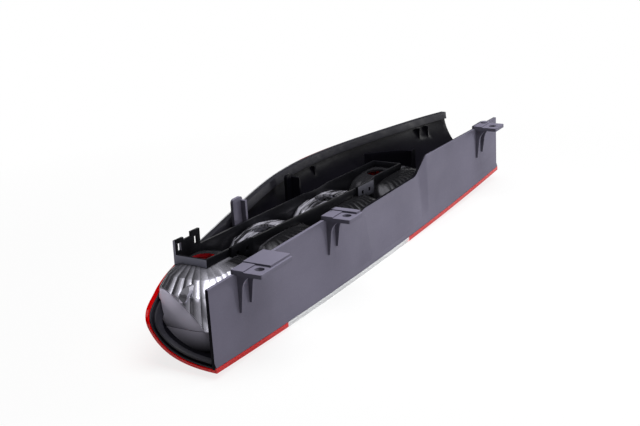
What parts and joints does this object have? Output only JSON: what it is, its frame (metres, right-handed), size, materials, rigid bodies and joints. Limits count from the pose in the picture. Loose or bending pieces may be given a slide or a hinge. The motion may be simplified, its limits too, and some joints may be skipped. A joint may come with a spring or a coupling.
{
  "type": "tail light cluster",
  "caption": "Long car tail light cluster seen from its rear: red and clear wrap-round lens, black housing with screw tabs, fluted reflector bowls in a row, bulb-holder frame and edge gasket.",
  "frame": {"origin": "centre of the middle screw hole, on the tab's rear face", "axes": "+X along the lamp from its lower to its upper end, +Y from the flat side wall across to the curved side, +Z out of the rear of the lamp, along the screw holes"},
  "size_m": [0.495, 0.1286, 0.0753],
  "materials": {
    "red_lens": "clear red moulded plastic, polished",
    "clear_lens": "clear moulded plastic, polished",
    "black_housing": "fine satin moulded plastic",
    "metallised": "plastic with a bright vapour-metallised skin",
    "black_frame": "satin moulded plastic",
    "gasket": "soft moulded rubber"
  },
  "bodies": {
    "root": {"lens_lower_red": "red_lens", "lens_middle_clear": "clear_lens", "lens_upper_red": "red_lens", "rear_housing": "black_housing", "reflector": "metallised", "bulb_holder_frame": "black_frame", "side_gasket": "gasket", "end_gasket": "gasket"}
  },
  "joints": []
}
